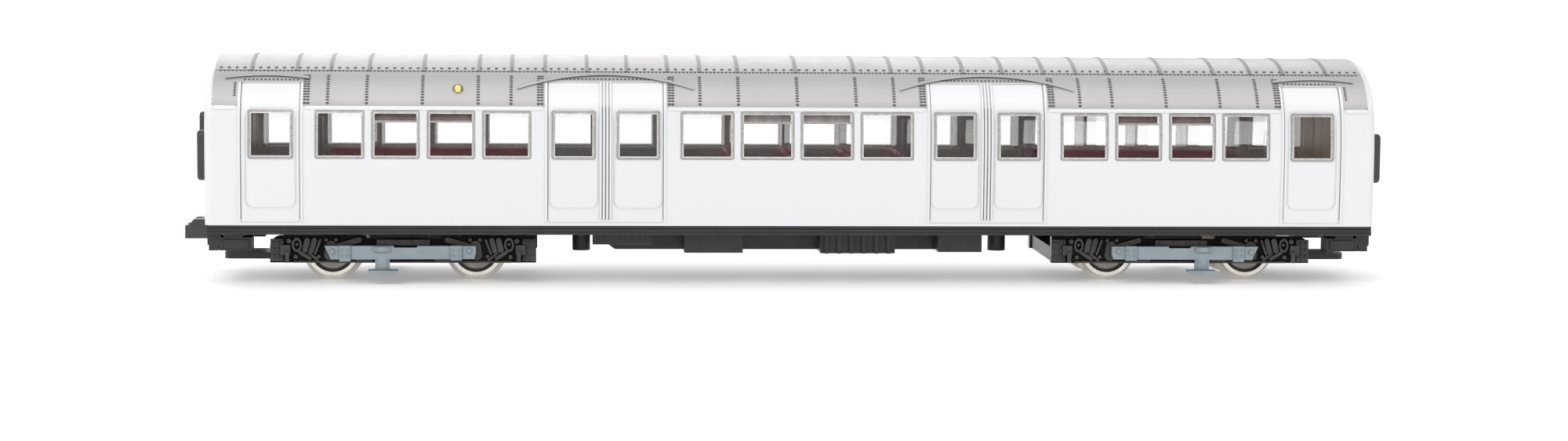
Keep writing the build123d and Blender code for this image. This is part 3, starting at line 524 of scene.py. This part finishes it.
def skin_rivet(x, height, side, out=0.0, **sizes):
    y, z, normal = on_skin(height, out)
    return rivet((x, side * y, z), (0, side * normal[0], normal[1]), **sizes)


def steps(start, end, pitch):
    """Evenly spaced values from start to end, near the given pitch."""
    count = max(1, round(abs(end - start) / pitch))
    return [start + (end - start) * i / count for i in range(count + 1)]


def down_the_side(top, bottom, pitch):
    """Heights of rivets evenly spaced along the skin between two heights."""
    (_, centre), radius = CENTRES[1], ARC_RADII[1]
    first = math.acos((top - centre) / radius)
    last = math.acos((bottom - centre) / radius)
    return [centre + radius * math.cos(turn) for turn in steps(first, last, pitch / radius)]


COLUMNS = (10.3, 17.0, 21.75, 22.35, 44.45, 45.05, 49.8, 55.5, 65.1, 74.7, 81.4, 84.75, 85.35)
COLUMN_PITCH = 0.56
COLUMN_HEIGHTS = (35.3, 31.3)
COLUMN_FOOT = 30.72
DOOR_COLUMN = 97.35
DOOR_COLUMN_HEIGHTS = (34.0, 32.0)
LAP_ROWS = (36.5, 36.05)
LAP_PITCH = 1.36
LAP_LIFT = 0.06
HEAD_PITCH = 0.68
HEAD_GAP = 0.28
HEAD_INSET = {DOUBLE_DOOR: 0.3, END_DOOR: 1.0}
END_LIMIT = 100.1
RIM = 101.35
RIM_LIFT = -0.06
RIM_HEIGHTS = (35.8, 31.4)
RIM_PITCH = 0.7


def roof_rivets():
    """Rivet rows along the laps, down the roof's side seams and round the door heads."""
    parts = []
    upper, lower = LAP_ROWS
    for side in (-1, 1):
        for x in steps(-END_LIMIT, END_LIMIT, LAP_PITCH):
            parts.append(skin_rivet(x, upper, side, LAP_LIFT, radius=0.3))
        for x in steps(-END_LIMIT, END_LIMIT, LAP_PITCH / 2):
            parts.append(skin_rivet(x, lower, side, radius=0.21))
        for x in (0.0, *COLUMNS, *(-c for c in COLUMNS)):
            for height in down_the_side(*COLUMN_HEIGHTS, COLUMN_PITCH):
                parts.append(skin_rivet(x, height, side, radius=0.32, flat=0.52))
            parts.append(skin_rivet(x, COLUMN_FOOT, side, radius=0.3, flat=0.8))
        for end in (-1, 1):
            for height in down_the_side(*DOOR_COLUMN_HEIGHTS, COLUMN_PITCH):
                parts.append(skin_rivet(end * DOOR_COLUMN, height, side))
            for door, head in ((DOUBLE_DOOR, DOUBLE_HEAD), (END_DOOR, END_HEAD)):
                inset = HEAD_INSET[door]
                for x in steps(end * (door[0] + inset), end * (door[1] - inset), HEAD_PITCH):
                    parts.append(skin_rivet(x, head + HEAD_GAP, side))
    return join(parts)


def end_rivets():
    """Rivets on the white rim at both ends of the roof."""
    parts = []
    for side in (-1, 1):
        for end in (-1, 1):
            for height in down_the_side(*RIM_HEIGHTS, RIM_PITCH):
                parts.append(skin_rivet(end * RIM, height, side, RIM_LIFT, radius=0.16))
    return join(parts)


# The roof rivets take the dark grey of painted shade
piece("roof_rivets", roof_rivets(), RIVET_PAINTED_SHADE, BODY)
piece("end_rim_rivets", end_rivets(), WHITE, BODY)


def curved_bar(x, z, layer, side):
    """Bar on the inner side of the skin between two X values and two heights, following the side's curve."""
    out, thick = layer
    rows = steps(*z, 0.4)
    points = []
    for end in x:
        for offset in (out, out - thick):
            for height in rows:
                y, level, _ = on_skin(height, offset)
                points.append(place(end, side * y, level))
    count = len(rows)
    faces = []

    def at(end, face, row):
        return (end * 2 + face) * count + row

    for row in range(count - 1):
        for end in (0, 1):
            faces.append([at(end, 0, row), at(end, 1, row), at(end, 1, row + 1), at(end, 0, row + 1)])
        for face in (0, 1):
            faces.append([at(0, face, row), at(1, face, row), at(1, face, row + 1), at(0, face, row + 1)])
    for row in (0, count - 1):
        faces.append([at(0, 0, row), at(1, 0, row), at(1, 1, row), at(0, 1, row)])
    return points, faces


TINT = surface("hopper_tint_brown", (0.26, 0.18, 0.165), 0.3, mottle=(2.5, 0.25), grain=(0.4, 0.01))
TINT_GREY = surface("hopper_tint_grey", (0.42, 0.36, 0.35), 0.3, mottle=(2.5, 0.25), grain=(0.4, 0.01))


def hopper(side, windows):
    """Transom bars and obscured quarter lights of some hopper windows on one side."""
    bars, lights = [], []
    for low, high in windows:
        for end in (-1, 1):
            x = sorted((end * (low + FRAME_WIDTH), end * (high - FRAME_WIDTH)))
            bars.append(curved_bar(x, TRANSOM, BAR_LAYER, side))
            lights.append(curved_bar(x, QUARTER_LIGHT, LIGHT_LAYER, side))
    return join(bars), join(lights)


for side, word in ((-1, "near"), (1, "far")):
    for windows, bay, tint in ((HOPPER_WINDOWS[:2], "end", TINT), (HOPPER_WINDOWS[2:], "mid", TINT_GREY)):
        bars, lights = hopper(side, windows)
        piece(f"hopper_bars_{bay}_{word}", bars, SILVER, BODY, smooth=False)
        piece(f"hopper_lights_{bay}_{word}", lights, tint, BODY, smooth=False)


# ---------------------------------------------------------------- stage, light and camera


def plain(name, colour, roughness, glow):
    """Plain material with a faint glow of its own, like a back-lit sweep."""
    material = bpy.data.materials.new(name)
    material.use_nodes = True
    shader = material.node_tree.nodes["Principled BSDF"]
    shader.inputs["Base Color"].default_value = (*colour, 1.0)
    shader.inputs["Roughness"].default_value = roughness
    shader.inputs["Emission Color"].default_value = (1.0, 1.0, 1.0, 1.0)
    shader.inputs["Emission Strength"].default_value = glow
    return material


def floor():
    """Pale floor, far wider than the coach, just under its wheels."""
    reach = 6.0
    mesh = bpy.data.meshes.new("floor")
    corners = [(-reach, -reach, 0), (reach, -reach, 0), (reach, reach, 0), (-reach, reach, 0)]
    mesh.from_pydata(corners, [], [(0, 1, 2, 3)])
    mesh.materials.append(plain("pale_floor", (0.90, 0.90, 0.90), 0.6, 0.30))
    obj = bpy.data.objects.new("floor", mesh)
    obj.location.z = -0.00005
    bpy.context.scene.collection.objects.link(obj)


def soft_light(name, azimuth, elevation, width, strength):
    """Broad, far light from a direction given in degrees, as wide as the given angle."""
    data = bpy.data.lights.new(name, "SUN")
    data.energy = strength
    data.angle = math.radians(width)
    obj = bpy.data.objects.new(name, data)
    turn, rise = math.radians(azimuth), math.radians(elevation)
    source = Vector((math.cos(turn) * math.cos(rise), math.sin(turn) * math.cos(rise), math.sin(rise)))
    obj.rotation_euler = (-source).to_track_quat("-Z", "Y").to_euler()
    bpy.context.scene.collection.objects.link(obj)


def world_light(strength):
    world = bpy.data.worlds.new("studio")
    world.use_nodes = True
    background = world.node_tree.nodes["Background"]
    background.inputs["Color"].default_value = (1.0, 1.0, 1.0, 1.0)
    background.inputs["Strength"].default_value = strength
    bpy.context.scene.world = world


CAMERA_AT = (-41.11, -558.29, 60.31)  # mm from the body's middle and the rail head
CAMERA_YAW = -4.104
CAMERA_PITCH = 5.234
CAMERA_ROLL = 0.458
LENS = 71.63


def camera():
    """Camera in front of the near side, turned by yaw, tipped down by pitch and rolled a little."""
    yaw, pitch, roll = (math.radians(a) for a in (CAMERA_YAW, CAMERA_PITCH, CAMERA_ROLL))
    right = Vector((math.cos(yaw), math.sin(yaw), 0))
    ahead = Vector((-math.sin(yaw) * math.cos(pitch), math.cos(yaw) * math.cos(pitch), -math.sin(pitch)))
    up = right.cross(ahead)
    across = right * math.cos(roll) + up * math.sin(roll)
    above = up * math.cos(roll) - right * math.sin(roll)
    data = bpy.data.cameras.new("camera")
    data.lens = LENS
    data.sensor_width = 36.0
    data.clip_start = 0.01
    obj = bpy.data.objects.new("camera", data)
    turn = Matrix((across, above, -ahead)).transposed().to_4x4()
    obj.matrix_world = Matrix.Translation(place(*CAMERA_AT)) @ turn
    bpy.context.scene.collection.objects.link(obj)
    bpy.context.scene.camera = obj


bpy.context.scene.view_settings.view_transform = "Standard"
floor()
world_light(0.74)
soft_light("front_softbox", -118.0, 38.0, 45.0, 1.05)
soft_light("back_softbox", 102.0, 32.0, 50.0, 0.78)
camera()
